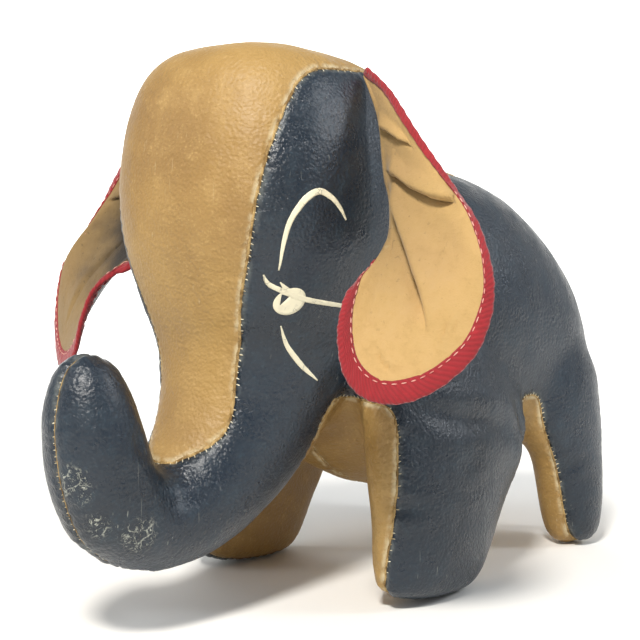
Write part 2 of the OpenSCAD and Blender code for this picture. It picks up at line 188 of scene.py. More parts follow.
def leatherette(name, base, light, dark, worn, rough, scratched, coat, edge_wear):
    """Vinyl-coated cotton cloth, embossed like leather: fine pebbles, a soft sheen that is duller
    where hands rubbed it, hair-thin pale scratches, and a pale backing that shows at worn edges."""
    material, tree, place = start_material(name)
    at = {"Vector": place}
    seam = add(tree, ATTRIBUTE, out="Fac", attribute_name="seam")
    flaked = add(tree, ATTRIBUTE, out="Fac", attribute_name="flaked")
    broad = add(tree, NOISE, at | blotches(0.085))
    mottle = add(tree, NOISE, at | blotches(0.011, 5, 0.65))
    fine = add(tree, NOISE, at | blotches(0.0016, 3, 0.7))
    base_share = add(tree, RANGE, (broad, 0.35, 0.65), **SMOOTH)
    colour = add(tree, MIX, {"Factor": base_share, "A": dark, "B": base}, **COLOURS)
    paler = add(tree, RANGE, (mottle, 0.45, 0.8, 0, 0.4), **SMOOTH)
    colour = add(tree, MIX, {"Factor": paler, "A": colour, "B": light}, **COLOURS)
    scuffed = add(tree, RANGE, (mottle, 0.35, 0.65, 0.15, 0.75), **SMOOTH)
    scuffs = add(tree, MATH, (add(tree, RANGE, (fine, 0.52, 0.72), **SMOOTH), scuffed), **TIMES)
    colour = add(tree, MIX, {"Factor": scuffs, "A": colour, "B": light}, **COLOURS)
    pits = add(tree, RANGE, (fine, 0.25, 0.42, 0.5, 0), **SMOOTH)
    colour = add(tree, MIX, {"Factor": pits, "A": colour, "B": dark}, **COLOURS)
    # Scratches: noise drawn out into thin streaks 50 mm long, in two directions
    streaks = []
    for turn, width in ((0.5, 0.0011), (-0.9, 0.0014)):
        drawn = add(tree, MAPPING, {"Vector": place, "Rotation": (turn, turn * 0.7, 0.3),
                                    "Scale": (1 / width, 1 / width, 1 / 0.05)})
        streak = add(tree, NOISE, {"Vector": drawn, "Scale": 1.0, "Detail": 2.0})
        streaks.append(add(tree, RANGE, (streak, 0.7, 0.76), **SMOOTH))
    patches = add(tree, RANGE, (add(tree, NOISE, at | blotches(0.05, 2)), 0.45, 0.7), **SMOOTH)
    scratches = add(tree, MATH, (add(tree, MATH, streaks, **PLUS), patches), **TIMES)
    scratches = add(tree, MATH, (scratches, scratched), **TIMES)
    colour = add(tree, MIX, {"Factor": scratches, "A": colour, "B": worn}, **COLOURS)
    # Cracks: edges of wandering cells, broken up, in a few patches only
    bent = add(tree, NOISE, at | {"Scale": 1 / 0.02, "Detail": 3.0}, out="Color")
    wander = add(tree, VECTORS, (bent, (0.018, 0.018, 0.018)), **TIMES)
    wandering = add(tree, VECTORS, (place, wander), **PLUS)
    cells = add(tree, CELLS, {"Vector": wandering, "Scale": 1 / 0.017}, out="Distance",
                feature="DISTANCE_TO_EDGE")
    crack = add(tree, RANGE, (cells, 0.006, 0.02, 1, 0), **SMOOTH)
    aged = add(tree, RANGE, (add(tree, NOISE, at | blotches(0.04, 2)), 0.7, 0.76, 0, 0.5), **SMOOTH)
    cracked = add(tree, MATH, (aged, add(tree, RANGE, (flaked, 0.45, 0.8), **SMOOTH)), **PLUS)
    crack = add(tree, MATH, (crack, cracked), **TIMES)
    crack = add(tree, MATH, (crack, add(tree, RANGE, (fine, 0.4, 0.55), **SMOOTH)), **TIMES)
    colour = add(tree, MIX, {"Factor": crack, "A": colour, "B": worn}, **COLOURS)
    # Flakes: the coating is gone in small chips
    chips = add(tree, NOISE, at | blotches(0.003, 5, 0.75) | {"Distortion": 1.5})
    chips = add(tree, RANGE, (chips, 0.55, 0.59), **SMOOTH)
    chips = add(tree, MATH, (chips, add(tree, RANGE, (flaked, 0.3, 0.8), **SMOOTH)), **TIMES)
    colour = add(tree, MIX, {"Factor": chips, "A": colour, "B": worn}, **COLOURS)
    handled = add(tree, RANGE, (mottle, 0.42, 0.6), **SMOOTH)
    rubbed = add(tree, MATH, (add(tree, RANGE, (seam, 0.5, 1.0), **SMOOTH), handled), **TIMES)
    rubbed = add(tree, MATH, (rubbed, edge_wear), **TIMES)
    colour = add(tree, MIX, {"Factor": rubbed, "A": colour, "B": worn}, **COLOURS)
    # Pebbles about 1.6 mm across, a little coarser than the real ones so that they show
    pebbles = add(tree, CELLS, {"Vector": place, "Scale": 1 / 0.0016, "Randomness": 1.0}, out="Distance",
                  feature="SMOOTH_F1")
    gone = add(tree, MATH, (crack, chips), **PLUS)
    normal = add(tree, BUMP, {"Height": pebbles, "Distance": 0.0006, "Strength": 0.7})
    normal = add(tree, BUMP, {"Height": fine, "Distance": 0.0006, "Strength": 0.7, "Normal": normal})
    normal = add(tree, BUMP, {"Height": mottle, "Distance": 0.0011, "Strength": 0.55, "Normal": normal})
    normal = add(tree, BUMP, {"Height": gone, "Distance": -0.0003, "Strength": 1.0, "Normal": normal})
    dull = add(tree, RANGE, (mottle, 0.35, 0.7, rough - 0.07, rough + 0.1), **SMOOTH)
    dull = add(tree, MATH, (dull, add(tree, MATH, (crack, 0.3), **TIMES)), **PLUS)
    bare = add(tree, MATH, (scratches, chips), **PLUS)
    dull = add(tree, MATH, (dull, add(tree, MATH, (bare, 0.25), **TIMES)), **PLUS)
    end_material(tree, {"Base Color": colour, "Roughness": dull, "Normal": normal, "IOR": 1.5,
                        "Coat Weight": coat, "Coat Roughness": 0.32})
    return material


def ear_suede(name, base, soiled, pale, soil_and_shadow):
    """Leatherette worn down to a dry, matt, suede-like face: soft blotches, darker towards the head (on the
    right ear a painted shadow of the head), pale where the rim has been handled, with small dark and pale
    specks."""
    material, tree, place = start_material(name)
    at = {"Vector": place}
    dirt_and_shadow = add(tree, ATTRIBUTE, out="Fac", attribute_name="soiled")
    broad = add(tree, NOISE, at | blotches(0.03, 4, 0.6))
    mottle = add(tree, NOISE, at | blotches(0.006, 5, 0.7))
    fine = add(tree, NOISE, at | blotches(0.0009, 3, 0.7))
    faded = add(tree, RANGE, (broad, 0.35, 0.7, 0, 0.45), **SMOOTH)
    colour = add(tree, MIX, {"Factor": faded, "A": base, "B": pale}, **COLOURS)
    stained = add(tree, RANGE, (mottle, 0.5, 0.8, 0, 0.35), **SMOOTH)
    colour = add(tree, MIX, {"Factor": stained, "A": colour, "B": shade(base, 0.62)}, **COLOURS)
    # Darker towards the head: on the right ear, at full strength, this is painted shadow of the head
    # falling on the ear; the specks below are real wear
    grime_and_shadow = add(tree, MATH, (dirt_and_shadow, add(tree, MATH, (broad, 0.8), **TIMES)), **PLUS)
    grime_and_shadow = add(tree, MATH, (add(tree, RANGE, (grime_and_shadow, 0.62, 1.25), **SMOOTH), soil_and_shadow), **TIMES)
    colour = add(tree, MIX, {"Factor": grime_and_shadow, "A": colour, "B": soiled}, **COLOURS)
    specks = add(tree, RANGE, (add(tree, NOISE, at | blotches(0.0026, 3, 0.6)), 0.64, 0.68), **SMOOTH)
    specks = add(tree, MATH, (add(tree, MATH, (specks, soil_and_shadow), **TIMES), dirt_and_shadow), **TIMES)
    colour = add(tree, MIX, {"Factor": specks, "A": colour, "B": linear("#17140f")}, **COLOURS)
    flakes = add(tree, RANGE, (add(tree, NOISE, at | blotches(0.0041, 4, 0.6)), 0.63, 0.66), **SMOOTH)
    flakes = add(tree, MATH, (flakes, add(tree, RANGE, (dirt_and_shadow, 0.7, 1.0), **SMOOTH)), **TIMES)
    flakes = add(tree, MATH, (flakes, soil_and_shadow), **TIMES)
    colour = add(tree, MIX, {"Factor": flakes, "A": colour, "B": linear("#cfc4a4")}, **COLOURS)
    normal = add(tree, BUMP, {"Height": fine, "Distance": 0.0003, "Strength": 0.5})
    normal = add(tree, BUMP, {"Height": mottle, "Distance": 0.0012, "Strength": 0.6, "Normal": normal})
    dull = add(tree, RANGE, (mottle, 0.3, 0.7, 0.66, 0.85), **SMOOTH)
    end_material(tree, {"Base Color": colour, "Roughness": dull, "Normal": normal, "IOR": 1.46,
                        "Sheen Weight": 0.12})
    return material


def twill_tape(name, base):
    """Cotton twill tape: fine slanting ribs, matt, darker in the ribs and faded along the fold."""
    material, tree, place = start_material(name)
    at = {"Vector": place}
    along = add(tree, "ShaderNodeUVMap", uv_map="weave")
    slanted = add(tree, MAPPING, {"Vector": along, "Rotation": (0, 0, math.radians(52))})
    # Ribs 1.1 mm apart, twice the real spacing so that they show
    ribs = add(tree, WAVE, {"Vector": slanted, "Scale": 1 / (0.0011 * 2 * math.pi), "Distortion": 0.6,
                            "Detail": 1.0}, out="Fac")
    mottle = add(tree, NOISE, at | blotches(0.008, 4, 0.6))
    fluff = add(tree, NOISE, at | blotches(0.0006, 2, 0.6))
    crest = add(tree, RANGE, (ribs, 0.1, 0.8), **SMOOTH)
    colour = add(tree, MIX, {"Factor": crest, "A": shade(base, 0.84), "B": base}, **COLOURS)
    faded = add(tree, RANGE, (mottle, 0.55, 0.8, 0, 0.4), **SMOOTH)
    colour = add(tree, MIX, {"Factor": faded, "A": colour, "B": shade(base, 1.5)}, **COLOURS)
    stained = add(tree, RANGE, (mottle, 0.2, 0.42, 0.45, 0), **SMOOTH)
    colour = add(tree, MIX, {"Factor": stained, "A": colour, "B": shade(base, 0.5)}, **COLOURS)
    normal = add(tree, BUMP, {"Height": ribs, "Distance": 0.00028, "Strength": 0.7})
    normal = add(tree, BUMP, {"Height": fluff, "Distance": 0.0002, "Strength": 0.5, "Normal": normal})
    end_material(tree, {"Base Color": colour, "Roughness": 0.82, "Normal": normal,
                        "Sheen Weight": 0.25, "Sheen Roughness": 0.5})
    return material


def cotton_thread(name, base, soiled):
    """Waxed cotton thread: a twisted surface, cream, soiled in blotches."""
    material, tree, place = start_material(name)
    at = {"Vector": place}
    dirty = add(tree, RANGE, (add(tree, NOISE, at | blotches(0.02)), 0.42, 0.62, 0, 0.75), **SMOOTH)
    colour = add(tree, MIX, {"Factor": dirty, "A": base, "B": soiled}, **COLOURS)
    ply = add(tree, NOISE, at | blotches(0.0005, 2))
    normal = add(tree, BUMP, {"Height": ply, "Distance": 0.0003, "Strength": 0.7})
    end_material(tree, {"Base Color": colour, "Roughness": 0.75, "Normal": normal, "Sheen Weight": 0.2})
    return material


def cut_edge(name, base, soiled):
    """Cut edge of the cotton backing: pale, fibrous, rough."""
    material, tree, place = start_material(name)
    at = {"Vector": place}
    dirty = add(tree, RANGE, (add(tree, NOISE, at | blotches(0.006, 5, 0.7)), 0.4, 0.62), **SMOOTH)
    colour = add(tree, MIX, {"Factor": dirty, "A": base, "B": soiled}, **COLOURS)
    fibre = add(tree, NOISE, at | blotches(0.0007, 3, 0.7))
    normal = add(tree, BUMP, {"Height": fibre, "Distance": 0.0006, "Strength": 0.9})
    end_material(tree, {"Base Color": colour, "Roughness": 0.9, "Normal": normal})
    return material


def brushed_paint(name, base):
    """Oil paint put on with a small brush: thick, satin, cracked a little with age."""
    material, tree, place = start_material(name)
    broad = add(tree, NOISE, {"Vector": place} | blotches(0.006, 4))
    crazing = add(tree, CELLS, {"Vector": place, "Scale": 1 / 0.0035}, out="Distance",
                  feature="DISTANCE_TO_EDGE")
    aged = add(tree, RANGE, (broad, 0.5, 0.65), **SMOOTH)
    line = add(tree, MATH, (add(tree, RANGE, (crazing, 0.0, 0.05, 1, 0), **SMOOTH), aged), **TIMES)
    line = add(tree, MATH, (line, 0.7), **TIMES)
    thin = add(tree, RANGE, (broad, 0.4, 0.7, 0, 0.3), **SMOOTH)
    colour = add(tree, MIX, {"Factor": thin, "A": base, "B": shade(base, 0.72)}, **COLOURS)
    colour = add(tree, MIX, {"Factor": line, "A": colour, "B": linear("#3a3a36")}, **COLOURS)
    normal = add(tree, BUMP, {"Height": broad, "Distance": 0.0006, "Strength": 0.6})
    end_material(tree, {"Base Color": colour, "Roughness": 0.5, "Normal": normal})
    return material


def cotton_wadding(name, base):
    """Teased cotton wadding: off-white, soft, matt."""
    material, tree, place = start_material(name)
    tufts = add(tree, NOISE, {"Vector": place} | blotches(0.009, 5, 0.7))
    full = add(tree, RANGE, (tufts, 0.3, 0.7), **SMOOTH)
    colour = add(tree, MIX, {"Factor": full, "A": shade(base, 0.75), "B": base}, **COLOURS)
    normal = add(tree, BUMP, {"Height": tufts, "Distance": 0.004, "Strength": 0.8})
    end_material(tree, {"Base Color": colour, "Roughness": 0.95, "Normal": normal})
    return material


def finishes():
    """Makes each material once."""
    if "finishes" not in work:
        colours = bpy.context.scene.elephant_colours
        navy, tan, cream = tuple(colours.navy), tuple(colours.tan), tuple(colours.cream)
        work["finishes"] = {
            "navy": leatherette("navy_leatherette", navy, linear("#2a3d49"), linear("#0f1a25"),
                                linear("#a4a79d"), 0.33, 0.6, 0.15, 0.2),
            "tan": leatherette("tan_leatherette", tan, linear("#b4945c"), linear("#8a6a38"),
                               linear("#cdbf9c"), 0.5, 0.4, 0.05, 0.8),
            "ear": ear_suede("left_ear_leather", tuple(colours.ear_tan), linear("#5d4a33"),
                             linear("#c09c66"), 0.35),
            # The right ear's front: its leather, darker all over and darkest towards the head, is painted
            # shade of the head's shadow on it; its dark specks are real wear
            "worn_and_shaded_ear": ear_suede("shaded_right_ear_leather", shade(colours.ear_tan, 0.55), linear("#241f1a"),
                                  linear("#917348"), 1.0),
            "tape": twill_tape("red_twill_tape", tuple(colours.red)),
            "thread": cotton_thread("cream_cotton_thread", cream, linear("#a08c62")),
            "run_thread": cotton_thread("faded_pink_thread", linear("#d9a294"), linear("#b8645c")),
            "edge": cut_edge("cut_backing_edge", linear("#b99c68"), linear("#7d6238")),
            "paint": brushed_paint("cream_oil_paint", cream),
            "wadding": cotton_wadding("cotton_wadding", linear("#e8e0cc")),
        }
    return work["finishes"]


# ---- making meshes -------------------------------------------------------------


def finished(name, bm, finish, body="root", replaces=()):
    """A piece from a bmesh: smooth, in its material, riding on its body."""
    mesh = bpy.data.meshes.new(name)
    bm.to_mesh(mesh)
    bm.free()
    mesh.shade_smooth()
    piece = bpy.data.objects.new(name, mesh)
    bpy.context.scene.collection.objects.link(piece)
    mesh.materials.clear()
    mesh.materials.append(finishes()[finish])
    if body:
        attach(piece, body)
    if replaces:
        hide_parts(*replaces)
    return piece


def thicken(piece, thickness, offset=-1.0):
    wall = piece.modifiers.new("wall", "SOLIDIFY")
    wall.thickness = thickness
    wall.offset = offset


def placed_grid(bm, across, along, place):
    """A grid whose points go where place(u, v) says, with u and v as arrays from 0 to 1."""
    made = bmesh.ops.create_grid(bm, x_segments=across, y_segments=along, size=1)["verts"]
    flat = np.clip((np.array([v.co for v in made]) + 1) / 2, 0, 1)
    for v, p in zip(made, place(flat[:, 0], flat[:, 1])):
        v.co = p
    return made, flat[:, 0], flat[:, 1]


def spline(points, u):
    """Smooth curve through the points, where u counts them: one place for each u."""
    points = np.array(points, float)
    last = len(points) - 1
    i = np.clip(np.asarray(u).astype(int), 0, last - 1)
    t = (u - i)[..., None]
    a, b, c, d = (points[np.clip(i + k, 0, last)] for k in (-1, 0, 1, 2))
    return 0.5 * (2 * b + (c - a) * t + (2 * a - 5 * b + 4 * c - d) * t ** 2
                  + (3 * b - a - 3 * c + d) * t ** 3)


def noise_at(points, size):
    """Smooth noise at every point, in lumps of a size in metres."""
    return np.array([noise.noise(Vector(p) / size) for p in points])


def unit_rows(vectors):
    return vectors / np.linalg.norm(vectors, axis=-1, keepdims=True)


def mesh_of(make):
    """A small mesh to stamp many times, made by one bmesh operator."""
    bm = bmesh.new()
    make(bm)
    mesh = bpy.data.meshes.new("stamp")
    bm.to_mesh(mesh)
    bm.free()
    return mesh


def stamped(bm, stamp, matrix):
    copy = stamp.copy()
    copy.transform(matrix)
    bm.from_mesh(copy)
    bpy.data.meshes.remove(copy)


def coordinates(mesh):
    co = np.empty(len(mesh.vertices) * 3)
    mesh.vertices.foreach_get("co", co)
    return co.reshape(-1, 3)


def normals(mesh):
    n = np.empty(len(mesh.vertices) * 3)
    mesh.vertex_normals.foreach_get("vector", n)
    return n.reshape(-1, 3)


def edge_ends(mesh):
    ends = np.empty(len(mesh.edges) * 2, int)
    mesh.edges.foreach_get("vertices", ends)
    return ends.reshape(-1, 2)


def relaxed(co, ends, rounds, fixed=None, back=-0.53):
    """Smooths a surface without shrinking it: a pull to the neighbours, then a push back."""
    count = np.bincount(ends.ravel(), minlength=len(co))[:, None].clip(1)
    for step in range(rounds * 2):
        total = np.stack([np.bincount(ends[:, 0], co[ends[:, 1], k], len(co))
                          + np.bincount(ends[:, 1], co[ends[:, 0], k], len(co)) for k in range(3)], 1)
        move = (total / count - co) * (0.5 if step % 2 == 0 else back)
        if fixed is not None:
            move[fixed] = 0
        co = co + move
    return co


def line_distance(co, line):
    """Distance of every point to a line of points, and how far along the line it is, from 0 to 1."""
    best = np.full(len(co), 1e9)
    along = np.zeros(len(co))
    points = np.array(line, float)
    for i in range(len(points) - 1):
        a, d = points[i], points[i + 1] - points[i]
        t = np.clip(((co - a) @ d) / (d @ d), 0, 1)
        gap = np.linalg.norm(co - a - t[:, None] * d, axis=1)
        nearer = gap < best
        best[nearer] = gap[nearer]
        along[nearer] = (i + t[nearer]) / (len(points) - 1)
    return best, along


def evaluated_mesh(piece):
    graph = bpy.context.evaluated_depsgraph_get()
    graph.update()
    return bpy.data.meshes.new_from_object(piece.evaluated_get(graph))


# ---- the stuffed skin ----------------------------------------------------------


def stuffed_form(grid):
    """The stuffing's CAD solid as one even, closed mesh with its flats smoothed away."""
    bm = bmesh.new()
    bm.from_mesh(frame["nodes"]["stuffing"].data)
    bmesh.ops.remove_doubles(bm, verts=bm.verts, dist=0.01 * MM)
    bmesh.ops.recalc_face_normals(bm, faces=bm.faces)
    mesh = bpy.data.meshes.new("form")
    bm.to_mesh(mesh)
    bm.free()
    form = bpy.data.objects.new("form", mesh)
    bpy.context.scene.collection.objects.link(form)
    remesh = form.modifiers.new("even", "REMESH")
    remesh.mode = "VOXEL"
    remesh.voxel_size = grid
    even = evaluated_mesh(form)
    bpy.data.objects.remove(form)
    even.vertices.foreach_set("co", relaxed(coordinates(even), edge_ends(even), 24).ravel())
    even.update()
    return even


def panel_distances(co):
    """Distance of every point to each CAD panel. The seams of the front legs bow outwards and
    those of the face inwards, so the points there are looked up beside themselves."""
    looked = co.copy()
    bow = (7.5 - 0.0036 * (co[:, 2] / MM - 70) ** 2) * MM
    front = np.clip((0.098 - co[:, 1]) / 0.03, 0, 1) * np.clip((0.115 - co[:, 2]) / 0.02, 0, 1)
    looked[:, 0] -= np.sign(co[:, 0]) * bow * front * np.clip(abs(co[:, 0]) / 0.03 - 0.6, 0, 1)
    face = np.clip((0.235 - co[:, 2]) / 0.03, 0, 1) * np.clip((-0.06 - co[:, 1]) / 0.02, 0, 1)
    looked[:, 0] += np.sign(co[:, 0]) * 3.2 * MM * face * np.clip((co[:, 2] - 0.09) / 0.03, 0, 1)
    rows = []
    for name in PANELS:
        bm = bmesh.new()
        bm.from_mesh(frame["nodes"][name].data)
        tree = BVHTree.FromBMesh(bm)
        bm.free()
        rows.append([tree.find_nearest(Vector(p))[3] for p in looked])
    return np.array(rows).T


def cut_along_seams(mesh):
    """Puts the seams into the mesh as edges, and each face into its panel as a material number."""
    bm = bmesh.new()
    bm.from_mesh(mesh)
    bm.verts.ensure_lookup_table()
    gaps = panel_distances(coordinates(mesh))
    panel = bm.verts.layers.int.new("panel")
    for v, label in zip(bm.verts, gaps.argmin(1)):
        v[panel] = int(label)

    def crossing(edge):
        """Share of the edge, from its first end, at which it crosses a seam."""
        a, b = edge.verts
        first = gaps[a.index][a[panel]] - gaps[a.index][b[panel]]
        second = gaps[b.index][a[panel]] - gaps[b.index][b[panel]]
        return first / (first - second) if first != second else 0.5

    crossed = [e for e in bm.edges if e.verts[0][panel] != e.verts[1][panel]]
    shares = {e: crossing(e) for e in crossed}
    snapped = {}
    for e, share in shares.items():
        near = e.verts[0] if share < 0.3 else e.verts[1] if share > 0.7 else None
        if near is not None:
            snapped.setdefault(near, []).append(e.verts[0].co.lerp(e.verts[1].co, share))
    for v, places in snapped.items():
        v.co = sum(places, Vector()) / len(places)
        v[panel] = ON_SEAM
    for e, share in shares.items():
        first = e.verts[0]
        if ON_SEAM not in (first[panel], e.verts[1][panel]):
            bmesh.utils.edge_split(e, first, share)[1][panel] = ON_SEAM
    for face in list(bm.faces):
        verts = list(face.verts)
        marks = [v[panel] for v in verts]
        if len(set(marks) - {ON_SEAM}) < 2:
            continue
        borders = [i for i, m in enumerate(marks) if m == ON_SEAM and marks[i - 1] != ON_SEAM]
        if len(borders) == 2:
            bmesh.utils.face_split(face, verts[borders[0]], verts[borders[1]])
        else:
            for v in bmesh.ops.poke(bm, faces=[face])["verts"]:
                v[panel] = ON_SEAM
    middles = []
    loose = []
    for face in bm.faces:
        marks = [v[panel] for v in face.verts if v[panel] != ON_SEAM]
        if marks:
            face.material_index = marks[0]
        else:
            loose.append(face)
            middles.append(face.calc_center_median())
    if loose:
        for face, label in zip(loose, panel_distances(np.array(middles)).argmin(1)):
            face.material_index = int(label)
    bm.to_mesh(mesh)
    bm.free()


def seam_edges(mesh):
    """The seam edges of a mesh as pairs of points and the two panels that meet there."""
    found = {}
    for face in mesh.polygons:
        for key in face.edge_keys:
            found.setdefault(key, []).append(face.material_index)
    return {key: tuple(sorted(two)) for key, two in found.items() if len(two) == 2 and two[0] != two[1]}


def chains(seams):
    """Joins the seam edges of each pair of panels into runs of points, as (panels, points)."""
    runs = []
    for panels in sorted(set(seams.values())):
        nexts = {}
        for (a, b), two in seams.items():
            if two == panels:
                nexts.setdefault(a, []).append(b)
                nexts.setdefault(b, []).append(a)
        unused = set(nexts)
        starts = sorted(v for v in nexts if len(nexts[v]) != 2) + sorted(nexts)
        for start in starts:
            if start not in unused:
                continue
            run = [start]
            unused.discard(start)
            while True:
                step = [v for v in nexts[run[-1]] if v in unused]
                if not step:
                    break
                run.append(step[0])
                unused.discard(step[0])
            if len(nexts[start]) == 2 and len(run) > 3 and start in nexts[run[-1]]:
                run.append(start)
            if len(run) > 4:
                runs.append((panels, run))
    return runs


CLOTH_FRAMES = 20


def inflated(mesh, pinned, sizes):
    """Cloth under the pressure of the stuffing, held at the seams and kept within a few millimetres."""
    before = coordinates(mesh)
    skin = bpy.data.objects.new("skin", mesh)
    bpy.context.scene.collection.objects.link(skin)
    held = skin.vertex_groups.new(name="held")
    held.add([int(i) for i in pinned], 1.0, "REPLACE")
    cloth = skin.modifiers.new("cloth", "CLOTH")
    settings = cloth.settings
    settings.quality = 5
    settings.mass = 0.3
    settings.vertex_group_mass = "held"
    settings.tension_stiffness = 10
    settings.compression_stiffness = 10
    settings.shear_stiffness = 4
    settings.bending_stiffness = 0.4
    settings.use_pressure = True
    settings.uniform_pressure_force = sizes.pressure
    settings.effector_weights.gravity = 0
    cloth.point_cache.frame_start = 1
    cloth.point_cache.frame_end = CLOTH_FRAMES
    scene = bpy.context.scene
    for number in range(1, CLOTH_FRAMES + 1):
        scene.frame_set(number)
    after = coordinates(evaluated_mesh(skin))
    scene.frame_set(1)
    bpy.data.objects.remove(skin)
    move = after - before
    length = np.linalg.norm(move, axis=1)[:, None].clip(1e-9)
    return before + move * np.minimum(1, sizes.most_swelling / length)


# Folds in the stuffed skin, on the left side: points in millimetres, depth and half width
FOLDS = [
    ([(74, -38, 101), (80, -12, 92), (83, 16, 88), (82, 44, 78)], 2.2, 6),
    ([(80, 52, 98), (82, 60, 78), (78, 64, 60), (68, 64, 44)], 3.2, 7),
    ([(64, -55, 56), (74, -50, 52), (86, -34, 50)], 2.0, 4),
    ([(88, -30, 62), (90, -10, 55), (89, 12, 56)], 1.0, 4),
    ([(77, 84, 104), (82, 92, 92), (84, 96, 76), (78, 92, 60)], 2.8, 6),
    ([(84, 118, 98), (87, 128, 86), (84, 146, 80)], 1.4, 5),
    ([(66, 116, 46), (76, 120, 50), (84, 132, 52)], 1.2, 4),
    ([(47, -66, 108), (58, -58, 104), (70, -44, 108), (80, -20, 116)], 2.6, 6),
    ([(22, -139, 78), (34, -128, 86), (42, -112, 96)], 1.4, 4),
    ([(20, -150, 62), (30, -138, 66), (36, -122, 74)], 1.0, 4),
    ([(14, -172, 96), (24, -168, 92), (28, -160, 84)], 0.9, 4),
    ([(63, -14, 166), (68, 8, 172), (72, 26, 190)], 1.6, 7),
    ([(60, -10, 196), (52, -2, 214), (36, 2, 228)], 1.8, 7),
    ([(28, -42, 92), (30, -36, 76), (34, -40, 60)], 1.6, 5),
]


def folded(co, side):
    """Depth of the folds of one side at every point."""
    move = np.zeros(len(co))
    for line, depth, width in FOLDS:
        points = [(x * MM * side, y * MM, z * MM) for x, y, z in line]
        gap, along = line_distance(co, points)
        gap = gap / (width * MM)
        taper = np.sin(np.pi * (0.12 + 0.76 * along))
        move += depth * MM * taper * (0.38 * np.exp(-(gap - 1.9) ** 2) - np.exp(-gap ** 2))
    return move


# How far a seam's dent and its puckers reach, and where the puckers have their full height
DENT_REACH, PUCKER_REACH, PUCKER_FULL = 1.8 * MM, 6 * MM, 1.5 * MM
# Sizes of the small and the large lumps that the stuffing makes
SMALL_LUMP, LARGE_LUMP = 12 * MM, 42 * MM
# How far the soles are pressed flat, how high up the legs that is felt, and their clearance
SOLE_GIVE, SOLE_REACH, SOLE_CLEAR = 0.6 * MM, 30 * MM, 0.3 * MM


def stuffed_skin(sizes):
    """The whole skin as one mesh with its seams, puffed up and creased, and its seams' paths."""
    mesh = stuffed_form(sizes.cloth_grid)
    cut_along_seams(mesh)
    seams = seam_edges(mesh)
    co = coordinates(mesh)
    for _, run in chains(seams):
        path = co[run]
        for _ in range(10):
            path[1:-1] = path[1:-1] * 0.5 + (path[:-2] + path[2:]) * 0.25
        co[run] = path
    pinned = np.array(sorted({v for key in seams for v in key}))
    co = relaxed(co, edge_ends(mesh), 6, pinned, back=-0.3)
    mesh.vertices.foreach_set("co", co.ravel())
    mesh.update()
    co = co - normals(mesh) * 1.2 * MM
    mesh.vertices.foreach_set("co", co.ravel())
    mesh.update()
    co = inflated(mesh.copy(), pinned, sizes)
    mesh.vertices.foreach_set("co", co.ravel())
    mesh.update()
    skin = bpy.data.objects.new("skin", mesh)
    bpy.context.scene.collection.objects.link(skin)
    finer = skin.modifiers.new("finer", "SUBSURF")
    finer.levels = finer.render_levels = 1
    fine = evaluated_mesh(skin)
    bpy.data.objects.remove(skin)
    seams = seam_edges(fine)
    co, out = coordinates(fine), normals(fine)
    runs = chains(seams)
    tree = KDTree(sum(len(run) for _, run in runs))
    travelled = []
    for _, run in runs:
        steps = np.linalg.norm(np.diff(co[run], axis=0), axis=1)
        for v, s in zip(run, np.concatenate([[0], np.cumsum(steps)])):
            tree.insert(Vector(co[v]), len(travelled))
            travelled.append(s)
    tree.balance()
    found = [tree.find(Vector(p)) for p in co]
    gap = np.array([f[2] for f in found])
    along = np.array([travelled[f[1]] for f in found])
    wobble, lumps = noise_at(co, SMALL_LUMP), noise_at(co, LARGE_LUMP)
    move = -sizes.seam_depth * np.exp(-(gap / DENT_REACH) ** 2)
    pucker = np.sin(2 * np.pi * along / (2.1 * sizes.stitch_pitch) + 3 * wobble)
    move += 0.45 * MM * pucker * np.exp(-gap / PUCKER_REACH) * np.clip(gap / PUCKER_FULL, 0, 1)
    move += 0.9 * MM * lumps + 0.22 * MM * wobble
    for side in (1, -1):
        mine = co[:, 0] * side > -0.002
        move[mine] += folded(co[mine], side)
    co = co + out * move[:, None]
    sunk = co[:, 2].min() + SOLE_GIVE
    co[:, 2] = np.maximum(co[:, 2] - sunk * np.clip(1 - co[:, 2] / SOLE_REACH, 0, 1), SOLE_CLEAR)
    fine.vertices.foreach_set("co", co.ravel())
    fine.update()
    out = normals(fine)
    on_seam = {v for _, run in runs for v in run}
    tan_side = np.zeros_like(co)
    for face in fine.polygons:
        if face.material_index >= HEAD_GUSSET:
            for v in on_seam.intersection(face.vertices):
                tan_side[v] += np.array(face.center) - co[v]
    work["skin"] = fine
    work["gap"] = gap
    work["seams"] = [(panels, co[run], out[run], tan_side[run]) for panels, run in runs]


# Patches of the trunk where the coating has flaked off: middle and reach in millimetres
FLAKED = [((9, -197, 76), 13), ((14, -187, 57), 9), ((24, -170, 52), 13)]


def flaking(co):
    """How much of the coating has flaked off at every point."""
    patch = np.zeros(len(co))
    for middle, reach in FLAKED:
        away = np.linalg.norm(co - np.array(middle) * MM, axis=1) / (reach * MM)
        patch = np.maximum(patch, np.clip(1.25 - away, 0, 1))
    return patch


def panel_piece(name, number, finish):
    """Cuts one panel out of the skin and gives the leatherette its thickness."""
    bm = bmesh.new()
    bm.from_mesh(work["skin"])
    seam = bm.verts.layers.float.new("seam")
    flaked = bm.verts.layers.float.new("flaked")
    patch = flaking(coordinates(work["skin"]))
    for v, gap, gone in zip(bm.verts, work["gap"], patch):
        v[seam] = math.exp(-(gap / 0.0045) ** 2)
        v[flaked] = gone
    others = [face for face in bm.faces if face.material_index != number]
    bmesh.ops.delete(bm, geom=others, context="FACES")
    for face in bm.faces:
        face.material_index = 0
    piece = finished(name.replace("panel", "skin"), bm, finish, "root", [name])
    thicken(piece, bpy.context.scene.elephant_sizes.skin_thickness)
    return piece


